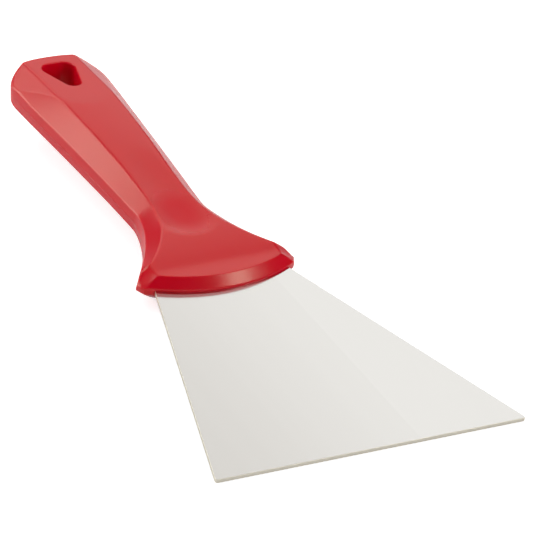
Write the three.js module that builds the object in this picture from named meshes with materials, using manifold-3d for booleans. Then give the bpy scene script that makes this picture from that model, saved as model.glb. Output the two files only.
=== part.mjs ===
// Hand scraper: a stamped stainless steel blade with a polypropylene handle moulded round its tang.
// Millimetres. X runs along the working edge, Y from that edge to the butt, and Z up from the
// blade's middle plane. The origin is the middle of the working edge.

import * as THREE from 'three';
import { mergeVertices } from 'three/addons/utils/BufferGeometryUtils.js';
import Module from 'manifold-3d';

const wasm = await Module();
wasm.setup();

// Blade: the flat sheet outside the handle
const bladeWidth = 100;
const bladeReach = 84;
const bladeThickness = 1.2;
const bladeCornerRadius = 1.2;
const shoulderInset = 4.7;
const shoulderSetback = 7.5;

// Blade: the tang inside the handle and the holes that the plastic fills
const shoulderDrop = 7;
const tangWidth = 13;
const tangLength = 64;
const tangEndRadius = 5;
const anchorHoleRadius = 2.6;
const anchorPlaceShares = [0.04, 0.42, 0.8];

// Fit of the moulding on the steel
const mouldClearance = 0.25;
const lipThickness = 0.25;

// Handle: lengths along Y
const skirtDepth = 39.3;
const gripLength = 81.5;
const tipSetback = 9.2;
const tipRun = 4.5;
const topCornerSetback = 12.6;
const topNeckLag = 4.7;
const ridgeSetback = 27;
const facetSetback = 10.7;

// Handle: half widths of the flat top and of the side walls
const tipHalfWidth = 26;
const neckHalfWidth = 11.05;
const buttHalfWidth = 16.5;
const topSkirtHalfWidth = 20.3;
const topNeckHalfWidth = 6.35;
const topButtHalfWidth = 8.7;
const sideDraft = 0.2;

// Handle: half heights above the middle plane, and how far that plane rises towards the butt
const frontHalfHeight = 3.8;
const neckHalfHeight = 6.8;
const bellyHalfHeight = 8.15;
const skirtWallHalfHeight = 3.4;
const gripWallHalfHeight = 2.8;
const gripRise = 2.6;
const topCrown = 0.35;
const buttDrop = 2;

// Handle: front arc, lean of the butt's end wall, edge softening and thumb rest
const frontRadius = 50;
const chamferAngle = THREE.MathUtils.degToRad(38.6);
const buttLeanAngle = THREE.MathUtils.degToRad(14);
const cornerLeanShare = 0.5;
const topEdgeSoftening = 1.1;
const wallEdgeSoftening = 0.6;
const thumbDepth = 1.2;
const thumbHalfWidth = 8.3;
const thumbFrontLength = 8.8;
const thumbBackLength = 24;
const thumbSetback = 28.5;
const thumbRimSoftening = 0.5;

// Hanging hole: a rounded triangle with its apex towards the blade
const holeEndWall = 4.9;
const holeBaseRadius = 3.4;
const holeApexRadius = 2.6;
const holeBaseSpread = 1.9;
const holeHeight = 9.1;

// Cuts run past the faces that they go through by this much
const overrun = 2;

// Shapes of the lofted curves
const wallFlarePower = 1.7;
const topFlarePower = 2.6;
const gripWidenPower = 1.1;
const skirtSteps = 32;
const gripSteps = 20;
const topSteps = 8;
const softeningSteps = 2;
const cornerSteps = 12;
const frontArcSteps = 144;

// Places that follow from the lengths
const frontY = bladeReach;
const neckY = frontY + skirtDepth;
const buttY = neckY + gripLength;
const ridgeY = buttY - ridgeSetback;
const facetY = buttY - facetSetback;
const tipY = frontY + tipSetback;
const topCornerY = frontY + topCornerSetback;
const topNeckY = neckY + topNeckLag;
const shoulderY = frontY + shoulderSetback;
const tangEndY = shoulderY + tangLength;
const lipHalfHeight = bladeThickness / 2 + mouldClearance + lipThickness;

// Heights along the handle. A station is 0 at the skirt's front, 1 at the neck and 2 at the butt.
const riseShares = [
  [0, 0], [0.3, 0], [0.51, 0.04], [0.71, 0.135], [0.89, 0.27], [1.03, 0.42],
  [1.18, 0.615], [1.35, 0.75], [1.52, 0.85], [1.86, 0.96], [2, 1],
];
const skirtHeightShares = [
  [-0.1, -0.01], [0, 0], [0.1, 0.01], [0.22, 0.06], [0.32, 0.35], [0.39, 0.54],
  [0.48, 0.74], [0.59, 0.91], [0.74, 1.01], [1, 1], [2, 1],
];
const bellyHeightShares = [
  [0, 0], [1, 0], [1.12, 0.18], [1.27, 0.61], [1.45, 0.95], [1.68, 1], [2, 1],
];
const topWidthShares = [[1.05, 0], [1.34, 0.5], [1.68, 0.94], [2, 1]];
const tipHeightShares = [[0, 0], [0.27, 0.34], [0.5, 0.68], [0.77, 0.89], [1, 0.97], [1.5, 1]];
const wallBlendShares = [0.75, 1.05];
const buttPullXShare = 0.69;
const buttPullYShare = 0.62;
const crownBlendShares = [0.8, 1.4];

// A smooth curve through hand-chosen points, flat beyond its ends
function curveThrough(points) {
  const last = points.length - 1;
  const slopeAt = (i) => {
    const a = points[Math.max(i - 1, 0)];
    const b = points[Math.min(i + 1, last)];
    return (b[1] - a[1]) / (b[0] - a[0]);
  };
  return (place) => {
    if (place <= points[0][0]) return points[0][1];
    if (place >= points[last][0]) return points[last][1];
    const i = points.findIndex((point) => point[0] > place) - 1;
    const span = points[i + 1][0] - points[i][0];
    const t = (place - points[i][0]) / span;
    const rise = points[i + 1][1] - points[i][1];
    const start = slopeAt(i) * span;
    const end = slopeAt(i + 1) * span;
    return points[i][1] + t * start + t * t * (3 * rise - 2 * start - end)
      + t * t * t * (start + end - 2 * rise);
  };
}

const riseCurve = curveThrough(riseShares);
const skirtHeightCurve = curveThrough(skirtHeightShares);
const bellyHeightCurve = curveThrough(bellyHeightShares);
const topWidthCurve = curveThrough(topWidthShares);
const tipHeightCurve = curveThrough(tipHeightShares);

const stationOf = (y) => (y < neckY ? (y - frontY) / skirtDepth : 1 + (y - neckY) / gripLength);
const blend = (low, high, share) => low + (high - low) * share;

// Height of the handle's middle plane above the blade's
const middleHeight = (y) => gripRise * riseCurve(stationOf(y));

// Half height of the flat top above the middle plane
function topHalfHeight(y) {
  const station = stationOf(y);
  const skirtHeight = blend(frontHalfHeight, neckHalfHeight, skirtHeightCurve(station));
  return skirtHeight + (bellyHalfHeight - neckHalfHeight) * bellyHeightCurve(station);
}

// Half width over the side walls: a flared skirt, a waist at the neck and a grip that widens to the butt
function wallHalfWidth(y) {
  if (y < tipY) return tipHalfWidth - (tipY - y) * cornerLeanShare;
  if (y < neckY) {
    const share = ((neckY - y) / (neckY - tipY)) ** wallFlarePower;
    return blend(neckHalfWidth, tipHalfWidth, share);
  }
  return blend(neckHalfWidth, buttHalfWidth, ((y - neckY) / gripLength) ** gripWidenPower);
}

// Half width of the flat top between its two long edges
function topHalfWidth(y) {
  if (y < topCornerY) return topSkirtHalfWidth;
  if (y < topNeckY) {
    const share = ((topNeckY - y) / (topNeckY - topCornerY)) ** topFlarePower;
    return blend(topNeckHalfWidth, topSkirtHalfWidth, share);
  }
  return blend(topNeckHalfWidth, topButtHalfWidth, topWidthCurve(stationOf(y)));
}

// Half height of the side wall, which falls to the thin lip at the skirt's tips
function wallHalfHeight(y) {
  const wall = blend(
    skirtWallHalfHeight,
    gripWallHalfHeight,
    THREE.MathUtils.smoothstep(stationOf(y), ...wallBlendShares),
  );
  return blend(lipHalfHeight, wall, tipHeightCurve((y - tipY) / tipRun));
}

// Half height of the top at x: slightly crowned along the grip, with the thumb rest scooped at the neck
function topHeightAt(x, y) {
  const across = x / topHalfWidth(y);
  const crown = topCrown * THREE.MathUtils.smoothstep(stationOf(y), ...crownBlendShares);
  const plain = topHalfHeight(y) + crown * (1 - across * across);
  const thumbY = frontY + thumbSetback;
  const reach = y < thumbY ? thumbFrontLength : thumbBackLength;
  const bowl = (x / thumbHalfWidth) ** 2 + ((y - thumbY) / reach) ** 2;
  const scoop = topHalfHeight(thumbY) - thumbDepth + thumbDepth * bowl;
  const overlap = Math.max(thumbRimSoftening - Math.abs(plain - scoop), 0);
  return Math.min(plain, scoop) - overlap ** 2 / (4 * thumbRimSoftening);
}

// A corner of a section turned into a short curve that starts and ends at the given distance from it
function softened(before, corner, after, distance) {
  const start = corner.clone().add(before.clone().sub(corner).setLength(distance));
  const end = corner.clone().add(after.clone().sub(corner).setLength(distance));
  return new THREE.QuadraticBezierCurve(start, corner, end).getPoints(softeningSteps);
}

// One quarter of the handle's section at y, from the top's middle to the mould line on the side
function quarterSection(y) {
  const topWidth = topHalfWidth(y);
  const wallHeight = wallHalfHeight(y);
  const wallWidth = wallHalfWidth(y);
  const across = Array.from({ length: topSteps }, (_, i) => (topWidth * i) / topSteps);
  const top = across.map((x) => new THREE.Vector2(x, topHeightAt(x, y)));
  const topEdge = new THREE.Vector2(topWidth, topHeightAt(topWidth, y));
  const wallEdge = new THREE.Vector2(wallWidth, wallHeight);
  const mouldLine = new THREE.Vector2(wallWidth + (sideDraft * wallHeight) / skirtWallHalfHeight, 0);
  const wallDistance = Math.min(wallEdgeSoftening, wallHeight / 2);
  return [
    ...top,
    ...softened(top[topSteps - 1], topEdge, wallEdge, topEdgeSoftening),
    ...softened(topEdge, wallEdge, mouldLine, wallDistance),
    mouldLine,
  ];
}

// The whole section as a closed ring: one quarter, mirrored down and then across
function sectionRing(y) {
  const quarter = quarterSection(y);
  const lower = quarter.slice(0, -1).reverse().map((p) => new THREE.Vector2(p.x, -p.y));
  const right = [...quarter, ...lower];
  const left = right.slice(1, -1).reverse().map((p) => new THREE.Vector2(-p.x, p.y));
  return [...right, ...left].map((p) => new THREE.Vector3(p.x, y, p.y + middleHeight(y)));
}

// A closed skin over rings of equal length, capped at both ends by a fan round the ring's middle
function loft(rings) {
  const size = rings[0].length;
  const middles = [rings[0], rings[rings.length - 1]].map((ring) => {
    const sum = ring.reduce((total, point) => total.add(point), new THREE.Vector3());
    return sum.divideScalar(size);
  });
  const points = [...rings.flat(), ...middles];
  const startMiddle = points.length - 2;
  const endMiddle = points.length - 1;
  const lastRing = (rings.length - 1) * size;
  const index = [];
  for (let i = 0; i < size; i += 1) {
    const next = (i + 1) % size;
    for (let row = 0; row < lastRing; row += size) {
      index.push(row + i, row + next, row + size + i);
      index.push(row + next, row + size + next, row + size + i);
    }
    index.push(startMiddle, next, i);
    index.push(endMiddle, lastRing + i, lastRing + next);
  }
  const geometry = new THREE.BufferGeometry().setFromPoints(points);
  geometry.setIndex(index);
  return geometry;
}

// Between a three.js geometry and a solid that can be joined and cut
function solidOf(geometry) {
  const bare = geometry.clone();
  bare.deleteAttribute('normal');
  bare.deleteAttribute('uv');
  const merged = mergeVertices(bare);
  return new wasm.Manifold(new wasm.Mesh({
    numProp: 3,
    vertProperties: new Float32Array(merged.attributes.position.array),
    triVerts: new Uint32Array(merged.index.array),
  }));
}

function geometryOf(solid) {
  const mesh = solid.getMesh();
  const geometry = new THREE.BufferGeometry();
  geometry.setAttribute('position', new THREE.BufferAttribute(mesh.vertProperties, 3));
  geometry.setIndex(new THREE.BufferAttribute(mesh.triVerts, 1));
  geometry.computeVertexNormals();
  return geometry;
}

// A flat outline given thickness on both sides of a height
function plate(shape, halfHeight, height) {
  const options = { depth: 2 * halfHeight, bevelEnabled: false, curveSegments: cornerSteps };
  return solidOf(new THREE.ExtrudeGeometry(shape, options).translate(0, 0, height - halfHeight));
}

function block(low, high) {
  const size = high.clone().sub(low);
  const middle = low.clone().add(high).divideScalar(2);
  return solidOf(new THREE.BoxGeometry(size.x, size.y, size.z).translate(middle.x, middle.y, middle.z));
}

// The blade's outline with its tang, larger all round by the allowance
function bladeOutline(allowance) {
  const edge = bladeWidth / 2 + allowance;
  const shoulder = tipHalfWidth - shoulderInset + allowance;
  const tang = tangWidth / 2 + allowance;
  const side = new THREE.Vector2(shoulder - edge, shoulderY).setLength(bladeCornerRadius);
  const tangEnd = tangEndY + allowance;
  const endRadius = tangEndRadius + allowance;
  const neck = shoulderY + shoulderDrop + allowance;
  const half = new THREE.Path();
  half.moveTo(0, -allowance);
  half.lineTo(edge - bladeCornerRadius, -allowance);
  half.quadraticCurveTo(edge, -allowance, edge + side.x, side.y - allowance);
  half.lineTo(shoulder, shoulderY + allowance);
  half.quadraticCurveTo(tang, shoulderY + allowance, tang, neck);
  half.lineTo(tang, tangEnd - endRadius);
  half.quadraticCurveTo(tang, tangEnd, tang - endRadius, tangEnd);
  half.lineTo(0, tangEnd);
  const right = half.getPoints(cornerSteps);
  const left = right.slice(1, -1).reverse().map((p) => new THREE.Vector2(-p.x, p.y));
  return new THREE.Shape([...right, ...left]);
}

const anchorPlaces = anchorPlaceShares.map((share) => shoulderY + tangLength * share);

function roundHole(y, radius) {
  return new THREE.Path().absarc(0, y, radius, 0, 2 * Math.PI);
}

function makeBlade() {
  const outline = bladeOutline(0);
  outline.holes = anchorPlaces.map((y) => roundHole(y, anchorHoleRadius));
  return plate(outline, bladeThickness / 2, 0);
}

// The room that the handle leaves for the tang, with a plug of plastic left standing in each anchor hole
function makeTangRoom() {
  const outline = bladeOutline(mouldClearance);
  outline.holes = anchorPlaces.map((y) => roundHole(y, anchorHoleRadius - mouldClearance));
  return plate(outline, bladeThickness / 2 + mouldClearance, 0);
}

// The waste in front of the skirt: a block less the upright spinning-top shape of the front arc,
// whose thin rim is the lip and whose two cones are the chamfers
function makeFrontWaste() {
  const arcCentreY = frontY + frontRadius;
  const coneHeight = bellyHalfHeight + overrun;
  const coneRadius = frontRadius - (coneHeight - lipHalfHeight) / Math.tan(chamferAngle);
  const profile = [
    new THREE.Vector2(0, -coneHeight),
    new THREE.Vector2(coneRadius, -coneHeight),
    new THREE.Vector2(frontRadius, -lipHalfHeight),
    new THREE.Vector2(frontRadius, lipHalfHeight),
    new THREE.Vector2(coneRadius, coneHeight),
    new THREE.Vector2(0, coneHeight),
  ];
  const top = new THREE.LatheGeometry(profile, frontArcSteps).rotateX(Math.PI / 2);
  top.translate(0, arcCentreY, 0);
  const reach = tipHalfWidth + overrun;
  const low = new THREE.Vector3(-reach, frontY - frontHalfHeight, -coneHeight + overrun);
  const high = new THREE.Vector3(reach, arcCentreY - reach, coneHeight - overrun);
  return block(low, high).subtract(solidOf(top));
}

// The block round the butt that the outline and the facets are cut from
function buttZone() {
  const reach = buttHalfWidth + bellyHalfHeight;
  const low = new THREE.Vector3(-reach, ridgeY - facetSetback, -reach);
  const high = new THREE.Vector3(reach, buttY + facetSetback, reach);
  return block(low, high);
}

// The waste outside the butt's rounded end, which starts where the side walls' upper edges stop and
// leans out towards the top
function makeButtWaste() {
  const lean = Math.tan(buttLeanAngle);
  const endY = buttY - lean * (topHalfHeight(buttY) - buttDrop);
  const startX = wallHalfWidth(facetY);
  const pullX = startX * buttPullXShare;
  const pullY = blend(facetY, endY, buttPullYShare);
  const zoneX = buttHalfWidth + 2 * bellyHalfHeight;
  const farY = buttY - gripLength;
  const shape = new THREE.Shape();
  shape.moveTo(-zoneX, farY);
  shape.lineTo(zoneX, farY);
  shape.lineTo(zoneX, facetY);
  shape.lineTo(startX, facetY);
  shape.bezierCurveTo(startX, pullY, pullX, endY, 0, endY);
  shape.bezierCurveTo(-pullX, endY, -startX, pullY, -startX, facetY);
  shape.lineTo(-zoneX, facetY);
  shape.closePath();
  const leaning = new THREE.Matrix4().makeShear(0, 0, 0, 0, 0, lean);
  leaning.setPosition(0, -lean * middleHeight(buttY), 0);
  return buttZone().subtract(plate(shape, zoneX, 0).transform(leaning.elements));
}

// Everything in the butt's block that lies beyond the plane through three points
function beyondPlane(a, b, c) {
  const along = b.clone().sub(a).normalize();
  const outward = new THREE.Vector3().crossVectors(along, c.clone().sub(a)).normalize();
  const across = new THREE.Vector3().crossVectors(outward, along);
  const side = 4 * gripLength;
  const frame = new THREE.Matrix4().makeBasis(along, across, outward).setPosition(a);
  const slab = new THREE.BoxGeometry(side, side, side).translate(0, 0, side / 2).applyMatrix4(frame);
  return solidOf(slab).intersect(buttZone());
}

// The facets that thin the butt, above and below: one across the top and one over each corner
function makeButtFacets() {
  const above = (x, y, halfHeight) => new THREE.Vector3(x, y, middleHeight(y) + halfHeight);
  const below = (p) => new THREE.Vector3(p.x, p.y, 2 * middleHeight(p.y) - p.z);
  const mirrored = (p) => new THREE.Vector3(-p.x, p.y, p.z);
  const ridgeEnd = above(topHalfWidth(ridgeY), ridgeY, topHalfHeight(ridgeY));
  const rim = above(topHalfWidth(buttY), buttY, topHalfHeight(buttY) - buttDrop);
  const wallEnd = above(wallHalfWidth(facetY), facetY, wallHalfHeight(facetY));
  const across = [mirrored(ridgeEnd), ridgeEnd, rim];
  const corner = [ridgeEnd, wallEnd, rim];
  return [across, corner].flatMap(([a, b, c]) => [
    beyondPlane(a, b, c),
    beyondPlane(mirrored(a), mirrored(c), mirrored(b)),
    beyondPlane(below(a), below(c), below(b)),
    beyondPlane(mirrored(below(a)), mirrored(below(b)), mirrored(below(c))),
  ]);
}

function makeHangHole() {
  const baseY = buttY - holeEndWall - holeBaseRadius;
  const apexY = baseY - holeHeight;
  const lean = Math.atan2(holeHeight, holeBaseSpread);
  const centres = Math.hypot(holeHeight, holeBaseSpread);
  const tangent = lean - Math.PI / 2 - Math.asin((holeBaseRadius - holeApexRadius) / centres);
  const shape = new THREE.Shape();
  shape.absarc(0, apexY, holeApexRadius, Math.PI - tangent, 2 * Math.PI + tangent);
  shape.absarc(holeBaseSpread, baseY, holeBaseRadius, tangent, Math.PI / 2);
  shape.absarc(-holeBaseSpread, baseY, holeBaseRadius, Math.PI / 2, Math.PI - tangent);
  return plate(shape, 2 * bellyHalfHeight, middleHeight(baseY));
}

function makeHandle() {
  const startY = frontY - overrun;
  const places = [];
  for (let i = 0; i <= skirtSteps; i += 1) places.push(blend(startY, neckY, i / skirtSteps));
  for (let i = 1; i <= gripSteps; i += 1) places.push(blend(neckY, buttY + overrun, i / gripSteps));
  const body = solidOf(loft(places.map(sectionRing)));
  const cuts = [makeFrontWaste(), makeButtWaste(), ...makeButtFacets(), makeHangHole(), makeTangRoom()];
  return cuts.reduce((solid, cut) => solid.subtract(cut), body);
}

const steel = new THREE.MeshStandardMaterial({ color: 0xdcd9d3, metalness: 1, roughness: 0.45 });
const redPlastic = new THREE.MeshStandardMaterial({ color: 0xc4222a, metalness: 0, roughness: 0.35 });

function namedMesh(name, solid, material) {
  const mesh = new THREE.Mesh(geometryOf(solid), material);
  mesh.name = name;
  return mesh;
}

const scraper = new THREE.Group();
scraper.name = 'hand_scraper';
scraper.add(namedMesh('blade', makeBlade(), steel));
scraper.add(namedMesh('handle', makeHandle(), redPlastic));

export default scraper;
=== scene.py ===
import math

import bmesh
import bpy
import numpy as np
from mathutils import Euler, Matrix, Vector


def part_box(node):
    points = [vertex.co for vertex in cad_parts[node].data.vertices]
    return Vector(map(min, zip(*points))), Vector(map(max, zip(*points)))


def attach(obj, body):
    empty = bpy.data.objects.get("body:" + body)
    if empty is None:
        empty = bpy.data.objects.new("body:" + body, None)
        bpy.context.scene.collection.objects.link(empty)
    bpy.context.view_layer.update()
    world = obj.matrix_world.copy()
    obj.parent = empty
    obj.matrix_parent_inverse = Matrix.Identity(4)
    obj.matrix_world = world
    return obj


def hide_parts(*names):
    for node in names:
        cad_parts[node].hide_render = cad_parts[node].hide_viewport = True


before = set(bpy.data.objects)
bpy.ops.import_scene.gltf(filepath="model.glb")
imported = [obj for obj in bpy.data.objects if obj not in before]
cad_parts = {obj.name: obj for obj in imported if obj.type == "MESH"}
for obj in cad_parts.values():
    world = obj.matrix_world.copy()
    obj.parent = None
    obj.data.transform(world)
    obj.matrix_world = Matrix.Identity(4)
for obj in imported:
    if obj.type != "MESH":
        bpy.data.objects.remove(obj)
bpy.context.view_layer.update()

# Camera
# A long lens from the front left, looking down at the scraper as it lies on the table.
# Its place and turn are those of the photograph, worked out from the tool's mirrored corners.
camera_place = (-0.71088, -1.00762, 0.82501)
camera_turn_degrees = (57.6262, -7.6581, -28.6688)
camera_lens = 360
sensor_width = 36

camera_data = bpy.data.cameras.new("photo_camera")
camera_data.lens = camera_lens
camera_data.sensor_width = sensor_width
camera = bpy.data.objects.new("photo_camera", camera_data)
camera.location = camera_place
camera.rotation_euler = Euler([math.radians(angle) for angle in camera_turn_degrees])
bpy.context.scene.collection.objects.link(camera)
bpy.context.scene.camera = camera
bpy.context.scene.view_settings.view_transform = "Standard"


# Blade
# One sheet of stainless steel, blanked to a trapezium with a tang that the handle is moulded round.
# Its faces are ground to a satin along the tool's length, and its cut edges are a little duller and
# slightly broken. All sizes in this file are in millimetres until they go into a mesh.
millimetre = 0.001
blade_low, blade_high = [np.array(corner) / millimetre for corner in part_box("blade")]
blade_half_width = 50
blade_half_thickness = (blade_high[2] - blade_low[2]) / 2
blade_reach = 84
shoulder_setback = 7.5
shoulder_y = blade_reach + shoulder_setback
shoulder_half_width = 21.3
shoulder_drop = 7
tang_half_width = 6.5
tang_end_y = blade_high[1]
tang_corner_radius = 5
blade_corner_radius = 1.2
edge_break = 0.12

# Colours of the ground faces, darker on the left and lighter on the right as painted light, and of the
# cut edge's grain
ground_colour_in_painted_shade = (0.585, 0.572, 0.577)
ground_colour_in_painted_light = (0.705, 0.7, 0.715)
cut_dark_colour = (0.68, 0.64, 0.55)
cut_pale_colour = (0.77, 0.725, 0.63)

# How many points each stretch of the outline and the broken edge have
edge_points = 24
corner_points = 9
long_side_points = 40
drop_points = 12
tang_side_points = 24
tang_end_points = 5
break_points = 4


def corner_curve(before, corner, after, steps):
    """A parabola from one point to another whose two end tangents meet at the corner: the blend
    of the three points by the squares and the product of t and 1 - t."""
    t = np.linspace(0, 1, steps)[:, None]
    return (1 - t) ** 2 * before + 2 * t * (1 - t) * corner + t ** 2 * after


def blade_outline():
    """The right half of the outline, from the middle of the working edge to the end of the tang:
    straight stretches, joined by corner curves."""
    corner = np.array([blade_half_width, 0])
    shoulder = np.array([shoulder_half_width, shoulder_y])
    side = (shoulder - corner) / np.linalg.norm(shoulder - corner) * blade_corner_radius
    tang_end = np.array([tang_half_width, tang_end_y])
    edge = np.linspace([0, 0], corner - [blade_corner_radius, 0], edge_points)
    rounded_corner = corner_curve(edge[-1], corner, corner + side, corner_points)
    long_side = np.linspace(corner + side, shoulder, long_side_points)
    tang_start = np.array([tang_half_width, shoulder_y])
    drop = corner_curve(shoulder, tang_start, tang_start + [0, shoulder_drop], drop_points)
    tang_side = np.linspace(drop[-1], tang_end - [0, tang_corner_radius], tang_side_points)
    tang_corner_end = tang_end - [tang_corner_radius, 0]
    tang_corner = corner_curve(tang_side[-1], tang_end, tang_corner_end, corner_points)
    end = np.linspace(tang_corner[-1], [0, tang_end_y], tang_end_points)
    parts = [edge, rounded_corner, long_side, drop, tang_side, tang_corner, end]
    return np.vstack([parts[0]] + [part[1:] for part in parts[1:]])


def mesh_object(name, points, faces):
    """A mesh object from points in millimetres and a list of faces."""
    mesh = bpy.data.meshes.new(name)
    corners = [list(map(int, face)) for face in faces]
    mesh.from_pydata((np.asarray(points) * millimetre).tolist(), [], corners)
    mesh.validate()
    piece = bpy.data.objects.new(name, mesh)
    bpy.context.scene.collection.objects.link(piece)
    return piece


def make_blade():
    """Rings of the outline at each height of the edge, moved in by a quarter circle at the faces,
    and the two faces, laid as strips between each point and its mirror image. Also the number of
    the edge's own faces, which come first."""
    half = blade_outline()
    right = half[:-1]
    left = half[1:][::-1] * [-1, 1]
    ring = np.vstack([right, left])
    ahead = np.roll(ring, -1, axis=0) - np.roll(ring, 1, axis=0)
    inward = np.stack([-ahead[:, 1], ahead[:, 0]], axis=1)
    inward /= np.linalg.norm(inward, axis=1)[:, None]
    turn = np.linspace(0, np.pi / 2, break_points)
    moved_in = edge_break * (1 - np.cos(turn))
    height = blade_half_thickness - edge_break * (1 - np.sin(turn))
    moved_in = np.concatenate([moved_in[::-1], moved_in])
    height = np.concatenate([height[::-1], -height])
    rings = ring[None] + inward[None] * moved_in[:, None, None]
    heights = np.broadcast_to(height[:, None, None], rings.shape[:2] + (1,))
    points = np.concatenate([rings, heights], axis=2).reshape(-1, 3)
    count = len(ring)
    rows = len(height)
    index = np.arange(rows * count).reshape(rows, count)
    around = np.roll(index, -1, axis=1)
    walls = np.stack([index[:-1], index[1:], around[1:], around[:-1]], axis=-1).reshape(-1, 4)
    first = np.arange(1, len(half) - 2)
    mirror = count - first
    top = np.stack([first, first + 1, mirror - 1, mirror], axis=1)
    caps = [[0, 1, count - 1]] + top.tolist() + [[len(half) - 2, len(half) - 1, len(half)]]
    bottom = [[(rows - 1) * count + i for i in reversed(face)] for face in caps]
    return mesh_object("blade_sheet", points, walls.tolist() + caps + bottom), len(walls)


def new_material(name):
    """A material, its node tree and its Principled shader."""
    material = bpy.data.materials.new(name)
    material.use_nodes = True
    return material, material.node_tree, material.node_tree.nodes["Principled BSDF"]


def object_place(tree):
    """The place on the piece, in metres."""
    return tree.nodes.new("ShaderNodeTexCoord").outputs["Object"]


def noise(tree, place, scale, detail):
    """Noise round one half, whose lumps are a metre divided by the scale in size, with finer layers
    on top as the detail says."""
    node = tree.nodes.new("ShaderNodeTexNoise")
    node.inputs["Scale"].default_value = scale
    node.inputs["Detail"].default_value = detail
    tree.links.new(place, node.inputs["Vector"])
    return node.outputs["Fac"]


def stretched_noise(tree, place, scales, detail):
    """Noise with a scale of its own along X, Y and Z."""
    node = tree.nodes.new("ShaderNodeMapping")
    node.inputs["Scale"].default_value = scales
    tree.links.new(place, node.inputs["Vector"])
    return noise(tree, node.outputs["Vector"], scale=1, detail=detail)


def ramp(tree, value, start=0, end=1, low=0, high=1, smooth=False):
    """Low up to the start, high from the end on, and between them a straight line or, where it is
    smooth, an S curve."""
    node = tree.nodes.new("ShaderNodeMapRange")
    node.interpolation_type = "SMOOTHSTEP" if smooth else "LINEAR"
    node.inputs["From Min"].default_value = start
    node.inputs["From Max"].default_value = end
    node.inputs["To Min"].default_value = low
    node.inputs["To Max"].default_value = high
    tree.links.new(value, node.inputs["Value"])
    return node.outputs["Result"]


def add(tree, first, second):
    """The sum of two values."""
    node = tree.nodes.new("ShaderNodeMath")
    tree.links.new(first, node.inputs[0])
    tree.links.new(second, node.inputs[1])
    return node.outputs["Value"]


def colour_between(tree, share, first, second):
    """The first colour where the share is 0, the second where it is 1, and a blend between them."""
    node = tree.nodes.new("ShaderNodeMix")
    node.data_type = "RGBA"
    node.inputs["A"].default_value = (*first, 1)
    node.inputs["B"].default_value = (*second, 1)
    tree.links.new(share, node.inputs["Factor"])
    return node.outputs["Result"]


def bump(tree, height, strength, distance):
    """The direction that the surface faces, tilted as if the height stood out from it."""
    node = tree.nodes.new("ShaderNodeBump")
    node.inputs["Strength"].default_value = strength
    node.inputs["Distance"].default_value = distance
    tree.links.new(height, node.inputs["Height"])
    return node.outputs["Normal"]


def ground_steel():
    """Satin steel: fine grinding lines along Y by roughness and a very low bump, faint streaks, a small
    step between two passes of the belt, and a painted reflection that makes the sheet darker on the
    left and lighter towards the right."""
    material, tree, shader = new_material("ground_steel")
    link = tree.links.new
    place = object_place(tree)
    grain = stretched_noise(tree, place, scales=(9000, 160, 9000), detail=3)
    band = stretched_noise(tree, place, scales=(260, 1.5, 260), detail=2)
    split = tree.nodes.new("ShaderNodeSeparateXYZ")
    link(place, split.inputs["Vector"])
    # Painted light: this ramp makes the ground faces lighter from left to right, a painted reflection
    # gradient.
    across = ramp(tree, split.outputs["X"], start=-0.055, end=0.025, high=0.9, smooth=True)
    belt = ramp(tree, split.outputs["X"], start=0.0152, end=0.0158, high=0.1, smooth=True)
    streak = ramp(tree, band, low=-0.06, high=0.08)
    tone = add(tree, add(tree, across, belt), streak)
    shader.inputs["Metallic"].default_value = 1
    link(colour_between(tree, tone, ground_colour_in_painted_shade, ground_colour_in_painted_light), shader.inputs["Base Color"])
    link(ramp(tree, grain, low=0.09, high=0.13), shader.inputs["Roughness"])
    link(bump(tree, grain, strength=0.15, distance=0.00002), shader.inputs["Normal"])
    return material


def cut_steel():
    """The blanked edge: the same steel, rougher, with a grain across the sheet."""
    material, tree, shader = new_material("cut_steel")
    link = tree.links.new
    grain = stretched_noise(tree, object_place(tree), scales=(1500, 1500, 200), detail=2)
    shader.inputs["Metallic"].default_value = 1
    link(colour_between(tree, grain, cut_dark_colour, cut_pale_colour), shader.inputs["Base Color"])
    link(ramp(tree, grain, low=0.35, high=0.5), shader.inputs["Roughness"])
    return material


blade, wall_faces = make_blade()
blade.data.materials.append(ground_steel())
blade.data.materials.append(cut_steel())
material_of_face = np.zeros(len(blade.data.polygons), np.int32)
material_of_face[:wall_faces] = 1
blade.data.polygons.foreach_set("material_index", material_of_face)
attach(blade, "root")
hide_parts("blade")


# Handle
# One red polypropylene moulding round the tang: a flared skirt with a chamfered front arc, a waist
# with a thumb rest, a grip with flat top, bevels and drafted walls, and a butt with a leaning end
# wall, thinned by facets round the hanging hole. Above and below the mould line it is the same, but
# for the chamfer over the front arc, which is steeper above and starts from a higher lip.
skirt_depth = 39.3
tip_setback = 9.2
tip_run = 4.5
top_corner_setback = 12.6
top_neck_lag = 4.7
ridge_setback = 27
facet_setback = 10.7
thumb_setback = 28.5

skirt_front_y = blade_reach
neck_y = skirt_front_y + skirt_depth
butt_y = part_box("handle")[1].y / millimetre
grip_length = butt_y - neck_y
tip_y = skirt_front_y + tip_setback
top_corner_y = skirt_front_y + top_corner_setback
top_neck_y = neck_y + top_neck_lag
ridge_y = butt_y - ridge_setback
facet_y = butt_y - facet_setback
thumb_y = skirt_front_y + thumb_setback

tip_half_width = 26
neck_half_width = 11.05
butt_half_width = 16.5
top_skirt_half_width = 20.3
top_neck_half_width = 6.35
top_butt_half_width = 8.7
draft_slope = 0.1
butt_lean_slope = 0.249
mould_ridge_height = 0.05
mould_ridge_half_width = 0.18

front_half_height = 4.25
neck_half_height = 6.785
belly_half_height = 8.15
skirt_wall_half_height = 3.4
grip_wall_half_height = 2.8
lip_half_height = 0.95
upper_lip_height = 1.25
grip_rise = 2.6
top_crown = 0.35
butt_drop = 2

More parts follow.
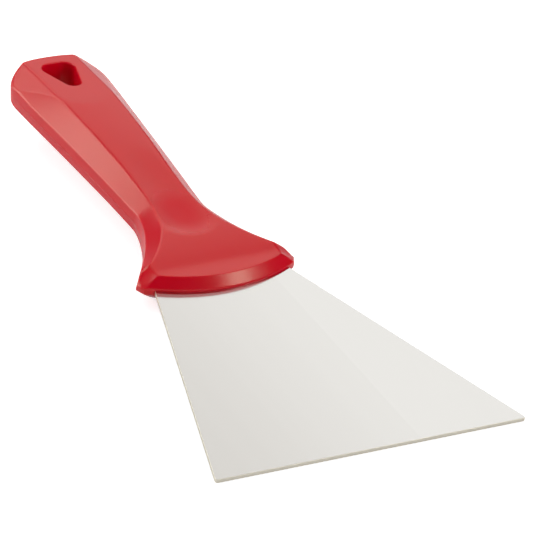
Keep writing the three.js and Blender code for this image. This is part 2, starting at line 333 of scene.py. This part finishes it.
front_radius = 50
upper_chamfer_angle = math.radians(48)
lower_chamfer_angle = math.radians(38.6)
tip_lean_share = 0.5
thumb_depth = 1.2
thumb_half_width = 9.3
thumb_front_length = 8.8
thumb_back_length = 24

wall_flare_power = 1.7
top_flare_power = 2.6
grip_widen_power = 1.1
butt_power = 2.36

# Curves along the tool: the station, 0 at the skirt's front, 1 at the neck and 2 at the butt, and
# the share of the change that is reached there. The tip's curve has shares of the tip's run instead.
rise_shares = [
    (0, 0), (0.3, 0), (0.51, 0.04), (0.71, 0.135), (0.89, 0.27), (1.03, 0.42),
    (1.18, 0.615), (1.35, 0.75), (1.52, 0.85), (1.86, 0.96), (2, 1),
]
skirt_height_shares = [
    (-0.1, -0.01), (0, 0), (0.1, 0.01), (0.22, 0.06), (0.32, 0.35), (0.39, 0.54),
    (0.48, 0.74), (0.59, 0.91), (0.74, 1.01), (1, 1), (2, 1),
]
belly_height_shares = [(0, 0), (1, 0), (1.12, 0.18), (1.27, 0.61), (1.45, 0.95), (1.68, 1), (2, 1)]
top_width_shares = [(1.05, 0), (1.34, 0.5), (1.68, 0.94), (2, 1)]
tip_height_shares = [(0, 0), (0.27, 0.34), (0.5, 0.68), (0.77, 0.89), (1, 0.97), (1.5, 1)]
wall_height_stations = (0.75, 1.05)
crown_stations = (0.8, 1.4)

deep_red = (0.622, 0.0005, 0.014)
clear_red = (0.648, 0.0005, 0.016)

# How wide each kind of edge is rounded
band_edge_rounding = 0.45
wall_edge_rounding = 0.25
chamfer_edge_rounding = 0.14
lip_edge_rounding = 0.2
facet_edge_rounding = 0.3
ridge_rounding = 0.08
butt_edge_rounding = 1.05
thumb_rim_rounding = 0.5
hole_edge_radius = 0.4


def smooth_curve(shares):
    """A curve through the points, level at and past its ends: cubic pieces whose slope at each
    point is that of the line between its two neighbours."""
    place, value = np.array(shares, float).T
    before = np.maximum(np.arange(len(place)) - 1, 0)
    after = np.minimum(np.arange(len(place)) + 1, len(place) - 1)
    slope = (value[after] - value[before]) / (place[after] - place[before])
    slope[[0, -1]] = 0

    def curve(at):
        at = np.clip(at, place[0], place[-1])
        i = np.clip(np.searchsorted(place, at, side="right") - 1, 0, len(place) - 2)
        span = place[i + 1] - place[i]
        t = (at - place[i]) / span
        rise = value[i + 1] - value[i]
        start = slope[i] * span
        end = slope[i + 1] * span
        square = 3 * rise - 2 * start - end
        cube = start + end - 2 * rise
        return value[i] + t * start + t ** 2 * square + t ** 3 * cube

    return curve


rise_curve = smooth_curve(rise_shares)
skirt_height_curve = smooth_curve(skirt_height_shares)
belly_height_curve = smooth_curve(belly_height_shares)
top_width_curve = smooth_curve(top_width_shares)
tip_height_curve = smooth_curve(tip_height_shares)


def blend(low, high, share):
    """Low, and a share of the way from low to high."""
    return low + (high - low) * share


def smooth_step(at, low, high):
    """0 below low, 1 above high and an S curve between them: 3 t squared less 2 t cubed."""
    t = np.clip((at - low) / (high - low), 0, 1)
    return t * t * (3 - 2 * t)


def station(y):
    """0 at the skirt's front, 1 at the neck and 2 at the butt, in straight lines between them."""
    skirt = (y - skirt_front_y) / (neck_y - skirt_front_y)
    grip = 1 + (y - neck_y) / grip_length
    return np.where(y < neck_y, skirt, grip)


def mould_line_height(y):
    """The grip's rise times its curve. All other heights are measured from this line."""
    return grip_rise * rise_curve(station(y))


def top_half_height(y):
    """A curve from the skirt's front to the neck, and another from there to the belly."""
    skirt = blend(front_half_height, neck_half_height, skirt_height_curve(station(y)))
    return skirt + (belly_half_height - neck_half_height) * belly_height_curve(station(y))


def wall_half_width(y):
    """Half width at the upper edge of the wall: a power curve from the neck out to the tip, another
    along the grip that goes on past the butt, and a straight lean inwards in front of the tip."""
    skirt_share = np.clip((neck_y - y) / (neck_y - tip_y), 0, 1)
    skirt = blend(neck_half_width, tip_half_width, skirt_share ** wall_flare_power)
    grip_share = np.clip((y - neck_y) / grip_length, 0, 2)
    grip = blend(neck_half_width, butt_half_width, grip_share ** grip_widen_power)
    lean = np.maximum(tip_y - y, 0) * tip_lean_share
    return np.where(y < neck_y, skirt, grip) - lean


def top_half_width(y):
    """Half width of the flat top, which flares as a power curve into the skirt's corner."""
    share = np.clip((top_neck_y - y) / (top_neck_y - top_corner_y), 0, 1)
    skirt = blend(top_neck_half_width, top_skirt_half_width, share ** top_flare_power)
    grip = blend(top_neck_half_width, top_butt_half_width, top_width_curve(station(y)))
    return np.where(y < top_neck_y, skirt, grip)


def wall_half_height(y):
    """The lip's height in front of the tip, and past it the wall's, which steps down at the neck."""
    past_neck = smooth_step(station(y), *wall_height_stations)
    wall = blend(skirt_wall_half_height, grip_wall_half_height, past_neck)
    return blend(lip_half_height, wall, tip_height_curve((y - tip_y) / tip_run))


def soft_max(a, b, rounding):
    """The larger of two values, raised by a parabola where they are closer than the rounding."""
    return np.maximum(a, b) + np.maximum(rounding - np.abs(a - b), 0) ** 2 / (4 * rounding)


def top_height(x, y):
    """Height of the top over the mould line: crowned along the grip, and lowered to the bowl of the
    thumb rest, a paraboloid that is longer towards the butt than towards the blade."""
    crown = top_crown * smooth_step(station(y), *crown_stations)
    plain = top_half_height(y) + crown * (1 - (x / top_half_width(y)) ** 2)
    reach = np.where(y < thumb_y, thumb_front_length, thumb_back_length)
    bowl = (x / thumb_half_width) ** 2 + ((y - thumb_y) / reach) ** 2
    scoop = top_half_height(np.float64(thumb_y)) + thumb_depth * (bowl - 1)
    return -soft_max(-plain, -scoop, thumb_rim_rounding)


def plane_through(a, b, c):
    """The signed height over the plane through three points, as a function of place."""
    normal = np.cross(b - a, c - a)
    normal /= np.linalg.norm(normal)
    normal *= np.sign(normal[2])
    return lambda x, y, z: (x - a[0]) * normal[0] + (y - a[1]) * normal[1] + (z - a[2]) * normal[2]


ridge_end = np.array([float(top_half_width(ridge_y)), ridge_y, float(top_half_height(ridge_y))])
rim_end = np.array([float(top_half_width(butt_y)), butt_y, float(top_half_height(butt_y)) - butt_drop])
wall_end = np.array([float(wall_half_width(facet_y)), facet_y, float(wall_half_height(facet_y))])
butt_round_length = butt_y - butt_lean_slope * rim_end[2] - facet_y
hole_facet = plane_through(ridge_end * [-1, 1, 1], ridge_end, rim_end)
corner_facet = plane_through(ridge_end, wall_end, rim_end)


def top_face(x, y, z):
    """The height over the top."""
    return z - top_height(x, y)


def bevel_face(x, y, z):
    """A ruled face from the edge of the top to the upper edge of the wall: the straight line through
    those two points of each section."""
    drop = top_half_height(y) - wall_half_height(y)
    spread = wall_half_width(y) - top_half_width(y)
    return (x - top_half_width(y)) * drop + (z - top_half_height(y)) * spread


def wall_face(x, y, z):
    """The wall widens by the draft towards the mould line, where a bell curve adds a fine ridge."""
    ridge = mould_ridge_height * np.exp(-(z / mould_ridge_half_width) ** 2)
    return x - wall_half_width(y) - draft_slope * (wall_half_height(y) - z) - ridge


def lip_face(x, y):
    """The upright cylinder of the front arc, carried on straight behind the arc's centre."""
    return np.hypot(x, np.maximum(skirt_front_y + front_radius - y, 0)) - front_radius


def chamfer_face(x, y, z):
    """The cone that rises inwards from the top of the lip, and the flatter one on the underside."""
    angle = np.where(z > 0, upper_chamfer_angle, lower_chamfer_angle)
    lip = np.where(z > 0, upper_lip_height, lip_half_height)
    return lip_face(x, y) * np.sin(angle) + (np.abs(z) - lip) * np.cos(angle)


def butt_face(x, y, z):
    """The end wall: a superellipse in plan that moves on with height, so that the wall leans out
    towards the top, and that counts for less and less in front of the ridge."""
    across = np.abs(x) / wall_end[0]
    along = np.maximum(y - butt_lean_slope * z - facet_y, 0) / butt_round_length
    size = (across ** butt_power + along ** butt_power) ** (1 / butt_power)
    return (size - 1) * butt_round_length - np.maximum(ridge_y - y, 0)


probe_step = 0.01
least_slope = 0.2


def distance(face, x, y, z):
    """The face's value divided by the length of its slope, which near the face is the true
    distance from it."""
    value = face(x, y, z)
    slope_x = face(x + probe_step, y, z) - value
    slope_y = face(x, y + probe_step, z) - value
    slope_z = face(x, y, z + probe_step) - value
    slope = np.sqrt(slope_x ** 2 + slope_y ** 2 + slope_z ** 2) / probe_step
    return value / np.maximum(slope, least_slope)


def outside_handle(x, y, z):
    """Distance outside the handle's rounded surface, negative inside it: the largest distance from
    any of its faces, with the edges between them rounded."""
    x = np.abs(x)
    height = np.abs(z)
    over_top = distance(top_face, x, y, height)
    body = soft_max(over_top, distance(bevel_face, x, y, height), band_edge_rounding)
    body = soft_max(body, distance(wall_face, x, y, height), wall_edge_rounding)
    facets = soft_max(hole_facet(x, y, height), corner_facet(x, y, height), facet_edge_rounding)
    body = soft_max(body, facets, ridge_rounding)
    body = soft_max(body, distance(butt_face, x, y, z), butt_edge_rounding)
    body = soft_max(body, chamfer_face(x, y, z), chamfer_edge_rounding)
    return soft_max(body, lip_face(x, y), lip_edge_rounding)


# The hanging hole, a rounded triangle with its apex towards the blade
hole_end_wall = 4.9
hole_height = 9.1
hole_base_radius = 3.4
hole_apex_radius = 2.6
hole_base_spread = 1.9
hole_base_y = butt_y - hole_end_wall - hole_base_radius
hole_apex_y = hole_base_y - hole_height

# How far behind the front the arc's first section and the skirt's first section stand on the
# middle line
arc_spine_setback = 13
skirt_spine_setback = 21

# How many sections the front arc, the skirt, the grip and the butt have, how many points a quarter
# of a section, the hole's rounded edge and half of its wall have, and how many the plan's lines have
zone_sections = (84, 96, 92, 104)
section_points = 58
hole_edge_points = 6
hole_wall_points = 10
arc_points = 60
side_line_points = 80
butt_side_points = 10
butt_arc_points = 200


def even_points(path, count):
    """Points at equal steps of length along a path."""
    length = np.concatenate([[0], np.cumsum(np.linalg.norm(np.diff(path, axis=0), axis=1))])
    at = np.linspace(0, length[-1], count)
    return np.stack([np.interp(at, length, path[:, 0]), np.interp(at, length, path[:, 1])], axis=1)


def arc(centre, radius, start, end):
    """Points on a circle, by the cosine and the sine of angles between two in degrees."""
    angle = np.radians(np.linspace(start, end, arc_points))
    return np.stack([centre[0] + radius * np.cos(angle), centre[1] + radius * np.sin(angle)], axis=1)


def hole_half_outline(margin):
    """The right half of the hole's rounded triangle, larger by the margin, from apex to base: two
    arcs and the straight line that touches both. Its tilt is that of the line between the arcs'
    centres, and the angle whose sine is the radii's difference over the length of that line."""
    centres = math.hypot(hole_base_spread, hole_base_y - hole_apex_y)
    centre_tilt = math.asin(hole_base_spread / centres)
    radius_tilt = math.asin((hole_base_radius - hole_apex_radius) / centres)
    tilt = math.degrees(centre_tilt + radius_tilt)
    apex = arc((0, hole_apex_y), hole_apex_radius + margin, -90, -tilt)
    base = arc((hole_base_spread, hole_base_y), hole_base_radius + margin, -tilt, 90)
    return np.vstack([apex, base, [[0, hole_base_y + hole_base_radius + margin]]])


def plan_lines():
    """The inner and outer lines of the right half, matched point for point: the front arc, the
    skirt's side, the grip's side and the butt round the hole. The butt's end is a superellipse, by
    powers of the cosine and the sine. Also the number of points before the butt."""
    arc_half_angle = math.degrees(math.asin(tip_half_width / front_radius))
    arc_centre = (0, skirt_front_y + front_radius)
    front = arc(arc_centre, front_radius, -90, -90 + arc_half_angle)
    skirt_y = np.linspace(tip_y, neck_y, side_line_points)
    skirt = np.stack([wall_half_width(skirt_y), skirt_y], axis=1)
    hole = hole_half_outline(hole_edge_radius)
    hole_front_y = hole[0, 1]
    grip_y = np.linspace(neck_y, hole_front_y, side_line_points)
    grip = np.stack([wall_half_width(grip_y), grip_y], axis=1)
    side_y = np.linspace(hole_front_y, facet_y, butt_side_points)
    side = np.stack([wall_half_width(side_y), side_y], axis=1)
    turn = np.linspace(0, np.pi / 2, butt_arc_points)
    end_x = wall_end[0] * np.cos(turn) ** (2 / butt_power)
    end_y = facet_y + butt_round_length * np.sin(turn) ** (2 / butt_power)
    butt = np.vstack([side, np.stack([end_x, end_y], axis=1)])
    skirt_spine_y = skirt_front_y + skirt_spine_setback
    spine = [skirt_front_y + arc_spine_setback, skirt_spine_y, neck_y, hole_front_y]
    outer = []
    inner = []
    for line, count, start, end in zip([front, skirt, grip], zone_sections, spine, spine[1:]):
        outer.append(even_points(line, count)[:-1])
        inner.append(np.linspace([0, start], [0, end], count)[:-1])
    hole_start = sum(len(points) for points in inner)
    outer.append(even_points(butt, zone_sections[-1]))
    inner.append(even_points(hole, zone_sections[-1]))
    return np.vstack(inner), np.vstack(outer), hole_start


# The search for the surface: the longest way out, how often it is halved, how many rays a first,
# coarse section has, and how much closer the points then lie where that section bends
longest_ray = 45
halvings = 26
coarse_points = 240
bend_weight = 4


def walk_out(origin, heading, angle):
    """Where a ray from the middle plane meets the surface: the zero of the outside distance along
    it, by halving. The middle plane follows the mould line, so heights are measured from that."""
    near = np.zeros(np.broadcast(heading[:, :1], angle).shape)
    far = near + longest_ray
    for _ in range(halvings):
        middle = (near + far) / 2
        x = origin[:, :1] + heading[:, :1] * middle * np.cos(angle)
        y = origin[:, 1:] + heading[:, 1:] * middle * np.cos(angle)
        z = middle * np.sin(angle)
        inside = outside_handle(x, y, z) < 0
        near = np.where(inside, middle, near)
        far = np.where(inside, far, middle)
    return np.stack([x, y, z], axis=-1)


def even_angles(origin, heading, count):
    """For each section, angles from straight up to flat out that give even steps of length along
    the surface, closer where it bends."""
    coarse = np.tile(np.linspace(np.pi / 2, 0, coarse_points), (len(origin), 1))
    points = walk_out(origin, heading, coarse)
    step = np.diff(points, axis=1)
    length = np.linalg.norm(step, axis=2)
    direction = step / length[..., None]
    bend = np.zeros_like(length)
    bend[:, 1:] = np.linalg.norm(np.diff(direction, axis=1), axis=2)
    weight = length + bend_weight * bend
    total = np.concatenate([np.zeros((len(origin), 1)), np.cumsum(weight, axis=1)], axis=1)
    total /= total[:, -1:]
    wanted = np.linspace(0, 1, count)
    return np.stack([np.interp(wanted, row, angles) for row, angles in zip(total, coarse)])


def handle_skin(inner, outer):
    """Sections that stand on the inner line and face the outer one, each run from the top round to
    the underside. Their ends lie over the inner line, and the first and the last in the middle."""
    heading = outer - inner
    heading /= np.linalg.norm(heading, axis=1)[:, None]
    angle = even_angles(inner, heading, section_points)
    skin = walk_out(inner, heading, np.concatenate([angle, -angle[:, -2::-1]], axis=1))
    skin[:, 0, :2] = inner
    skin[:, -1, :2] = inner
    skin[0, :, 0] = 0
    skin[-1, :, 0] = 0
    return skin


def hole_wall(rim, rim_height):
    """Columns from each point of the rim: a quarter circle into the hole, a straight line down to
    the middle plane, and the same mirrored below."""
    ahead = np.gradient(rim, axis=0)
    into_hole = np.stack([-ahead[:, 1], ahead[:, 0]], axis=1)
    into_hole /= np.linalg.norm(into_hole, axis=1)[:, None]
    into_hole[[0, -1], 0] = 0
    turn = np.linspace(0, np.pi / 2, hole_edge_points)
    wall_share = np.linspace(1, 0, hole_wall_points)[1:]
    edge_height = rim_height[:, None] - hole_edge_radius * (1 - np.cos(turn))
    wall_height = (rim_height - hole_edge_radius)[:, None] * wall_share
    height = np.concatenate([edge_height, wall_height], axis=1)
    reach = hole_edge_radius * np.concatenate([np.sin(turn), np.ones(len(wall_share))])
    place = rim[:, None] + into_hole[:, None] * reach[None, :, None]
    upper = np.concatenate([place, height[..., None]], axis=2)
    lower = upper[:, -2::-1] * [1, 1, -1]
    return np.concatenate([upper, lower], axis=1)


def grid_faces(grid, first):
    """Four-sided faces between the neighbours of a grid whose points are numbered on from first."""
    index = first + np.arange(grid.shape[0] * grid.shape[1]).reshape(grid.shape[:2])
    corners = [index[:-1, :-1], index[:-1, 1:], index[1:, 1:], index[1:, :-1]]
    return np.stack(corners, axis=-1).reshape(-1, 4)


def make_handle():
    """The skin and the hole's wall, whose faces turn the other way, raised to the mould line, and
    the mirrored left half."""
    inner, outer, hole_start = plan_lines()
    skin = handle_skin(inner, outer)
    hole = hole_wall(inner[hole_start:], skin[hole_start:, 0, 2])
    points = np.vstack([skin.reshape(-1, 3), hole.reshape(-1, 3)])
    points[:, 2] += mould_line_height(points[:, 1])
    skin_count = skin.shape[0] * skin.shape[1]
    hole_faces = grid_faces(hole, skin_count)[:, [0, 3, 2, 1]]
    faces = np.vstack([grid_faces(skin, 0), hole_faces])
    mirrored = faces[:, ::-1] + len(points)
    points = np.vstack([points, points * [-1, 1, 1]])
    return mesh_object("handle_moulding", points, np.vstack([faces, mirrored]))


weld_distance = 0.002

handle = make_handle()
cleaner = bmesh.new()
cleaner.from_mesh(handle.data)
bmesh.ops.remove_doubles(cleaner, verts=cleaner.verts, dist=weld_distance * millimetre)
bmesh.ops.recalc_face_normals(cleaner, faces=cleaner.faces)
cleaner.to_mesh(handle.data)
cleaner.free()
handle.data.polygons.foreach_set("use_smooth", np.ones(len(handle.data.polygons), bool))


def red_plastic():
    """Red polypropylene, which light enters a little: a satin moulded skin with a very fine texture
    and a faint mottle in its gloss, slow changes of tone, and in the thumb rest a rougher skin with a
    weaker reflection, which is painted shade in its bowl."""
    material, tree, shader = new_material("red_polypropylene")
    link = tree.links.new
    shader.inputs["IOR"].default_value = 1.49
    shader.inputs["Subsurface Weight"].default_value = 0.35
    shader.inputs["Subsurface Radius"].default_value = (1, 0.05, 0.05)
    shader.inputs["Subsurface Scale"].default_value = 0.002
    shader.inputs["Specular Tint"].default_value = (1, 0.97, 0.75, 1)
    place = object_place(tree)
    flow = noise(tree, place, scale=60, detail=2)
    link(colour_between(tree, flow, deep_red, clear_red), shader.inputs["Base Color"])
    skin = noise(tree, place, scale=6000, detail=3)
    roughness = ramp(tree, skin, low=0.21, high=0.29)
    # The thumb rest: a rougher skin, and a weaker reflection in the bowl that is painted shade.
    thumb_place = tree.nodes.new("ShaderNodeMapping")
    thumb_place.vector_type = "TEXTURE"
    thumb_place.inputs["Location"].default_value = (0, 0.117, 0)
    thumb_place.inputs["Scale"].default_value = (0.0095, 0.014, 1)
    link(place, thumb_place.inputs["Vector"])
    thumb = tree.nodes.new("ShaderNodeTexGradient")
    thumb.gradient_type = "SPHERICAL"
    link(thumb_place.outputs["Vector"], thumb.inputs["Vector"])
    thumb_dullness_and_painted_shade = ramp(tree, thumb.outputs["Fac"], end=0.75, smooth=True)
    dull = tree.nodes.new("ShaderNodeMath")
    dull.operation = "MULTIPLY_ADD"
    dull.inputs[1].default_value = 0.12
    link(thumb_dullness_and_painted_shade, dull.inputs[0])
    link(roughness, dull.inputs[2])
    link(dull.outputs["Value"], shader.inputs["Roughness"])
    link(ramp(tree, thumb_dullness_and_painted_shade, low=0.5, high=0.25), shader.inputs["Specular IOR Level"])
    link(bump(tree, skin, strength=0.1, distance=0.00001), shader.inputs["Normal"])
    return material


handle.data.materials.append(red_plastic())
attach(handle, "root")
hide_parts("handle")


# Table
# A plain white top that the scraper rests on: the lower front edge of the blade and the underside
# of the skirt touch it, so it is tilted a little against the tool's own frame.
table_size = 6000
support_y = 106
support_height = -6.45
table_slope = math.atan2(support_height + blade_half_thickness, support_y)


def white_table():
    """White for the camera and in reflections, and a plain white surface that takes shadows."""
    material, tree, shader = new_material("white_table")
    link = tree.links.new
    shader.inputs["Base Color"].default_value = (0.8, 0.8, 0.8, 1)
    shader.inputs["Roughness"].default_value = 0.9
    path = tree.nodes.new("ShaderNodeLightPath")
    glow = tree.nodes.new("ShaderNodeEmission")
    glow.inputs["Color"].default_value = (1, 1, 1, 1)
    link(ramp(tree, path.outputs["Is Camera Ray"], low=0.22, high=0.7), glow.inputs["Strength"])
    both = tree.nodes.new("ShaderNodeAddShader")
    link(shader.outputs["BSDF"], both.inputs[0])
    link(glow.outputs["Emission"], both.inputs[1])
    direct = tree.nodes.new("ShaderNodeMath")
    direct.operation = "MAXIMUM"
    link(path.outputs["Is Camera Ray"], direct.inputs[0])
    link(path.outputs["Is Glossy Ray"], direct.inputs[1])
    seen = tree.nodes.new("ShaderNodeMixShader")
    link(direct.outputs["Value"], seen.inputs["Fac"])
    link(shader.outputs["BSDF"], seen.inputs[1])
    link(both.outputs["Shader"], seen.inputs[2])
    link(seen.outputs["Shader"], tree.nodes["Material Output"].inputs["Surface"])
    return material


table_corners = np.array([[-1, -1, 0], [1, -1, 0], [1, 1, 0], [-1, 1, 0]]) * table_size / 2
table = mesh_object("table", table_corners, [[0, 1, 2, 3]])
table.rotation_euler = (table_slope, 0, 0)
table.location = (0, 0, -blade_half_thickness * millimetre)
table.data.materials.append(white_table())


# Light
# Studio light at a plain level in a dark room with a pale horizon: a large softbox behind on the
# left with two strips beside it, two panels behind, two small ones on the right, a dim one in
# front, and two fills that give no highlight.
lamp_distance = 1.6
tool_middle = Vector((0, 0.1, 0))


def add_softbox(name, azimuth, elevation, roll, width, height, power, colour=(1, 1, 1), seen=True):
    """A rectangle that faces the middle of the tool. The azimuth goes from +Y towards +X, and a
    positive roll lifts the rectangle's right end, as the tool sees it. All three are in degrees,
    the width and height in metres and the power in watts."""
    azimuth, elevation, roll = [math.radians(angle) for angle in (azimuth, elevation, roll)]
    level = math.cos(elevation)
    way = Vector((level * math.sin(azimuth), level * math.cos(azimuth), math.sin(elevation)))
    lamp_data = bpy.data.lights.new(name, "AREA")
    lamp_data.shape = "RECTANGLE"
    lamp_data.size = width
    lamp_data.size_y = height
    lamp_data.energy = power
    lamp_data.color = colour
    lamp = bpy.data.objects.new(name, lamp_data)
    lamp.location = way * lamp_distance + tool_middle
    turn = (-way).to_track_quat("-Z", "Y").to_matrix() @ Matrix.Rotation(-roll, 3, "Z")
    lamp.rotation_euler = turn.to_euler()
    lamp.visible_glossy = seen
    bpy.context.scene.collection.objects.link(lamp)


add_softbox("left_softbox", -48, 23, 36, 0.91, 1.16, 15)
add_softbox("left_strip", -25, 39, -33, 0.74, 0.19, 2.4)
add_softbox("edge_strip", 3, 37, 0, 0.2, 0.28, 0.4)
add_softbox("back_panel", 26, 35.5, -21, 1.14, 1.05, 4.35, colour=(1, 0.99, 0.93))
add_softbox("ceiling_panel", 35, 66, -15, 1.7, 0.72, 3.8, colour=(1, 0.99, 0.93))
add_softbox("right_softbox", 134, 42, 40, 0.35, 0.36, 4.1)
add_softbox("right_panel", 130, 35, 42, 0.65, 0.24, 0.8)
add_softbox("right_fill", 91, 34, 0, 0.8, 0.5, 5.4, seen=False)
add_softbox("front_fill", 180, 24, 0, 0.8, 0.8, 6.2, seen=False)
add_softbox("front_panel", 180, 18, 0, 2, 1.2, 2.8)


def pale_room():
    """A pale horizon that is dimmer to the right, a dark ceiling that is pale straight overhead, and
    plain white behind the tool."""
    world = bpy.data.worlds.new("pale_room")
    world.use_nodes = True
    tree = world.node_tree
    link = tree.links.new
    room = tree.nodes["Background"]
    backdrop = tree.nodes.new("ShaderNodeBackground")
    backdrop.inputs["Color"].default_value = (1, 1, 1, 1)
    where = tree.nodes.new("ShaderNodeTexCoord")
    split = tree.nodes.new("ShaderNodeSeparateXYZ")
    link(where.outputs["Generated"], split.inputs["Vector"])
    tones = tree.nodes.new("ShaderNodeValToRGB")
    tones.color_ramp.interpolation = "EASE"
    tones.color_ramp.elements[0].position = 0.1
    tones.color_ramp.elements[0].color = (0.6, 0.6, 0.59, 1)
    tones.color_ramp.elements[1].position = 0.38
    tones.color_ramp.elements[1].color = (0.01, 0.01, 0.01, 1)
    tones.color_ramp.elements.new(0.93).color = (0.01, 0.01, 0.01, 1)
    tones.color_ramp.elements.new(0.98).color = (0.4, 0.4, 0.39, 1)
    link(split.outputs["Z"], tones.inputs["Fac"])
    link(tones.outputs["Color"], room.inputs["Color"])
    side = ramp(tree, split.outputs["X"], start=0.2, end=0.9, low=1, high=0.5, smooth=True)
    link(side, room.inputs["Strength"])
    path = tree.nodes.new("ShaderNodeLightPath")
    seen = tree.nodes.new("ShaderNodeMixShader")
    link(path.outputs["Is Camera Ray"], seen.inputs["Fac"])
    link(room.outputs["Background"], seen.inputs[1])
    link(backdrop.outputs["Background"], seen.inputs[2])
    link(seen.outputs["Shader"], tree.nodes["World Output"].inputs["Surface"])
    return world


bpy.context.scene.world = pale_room()
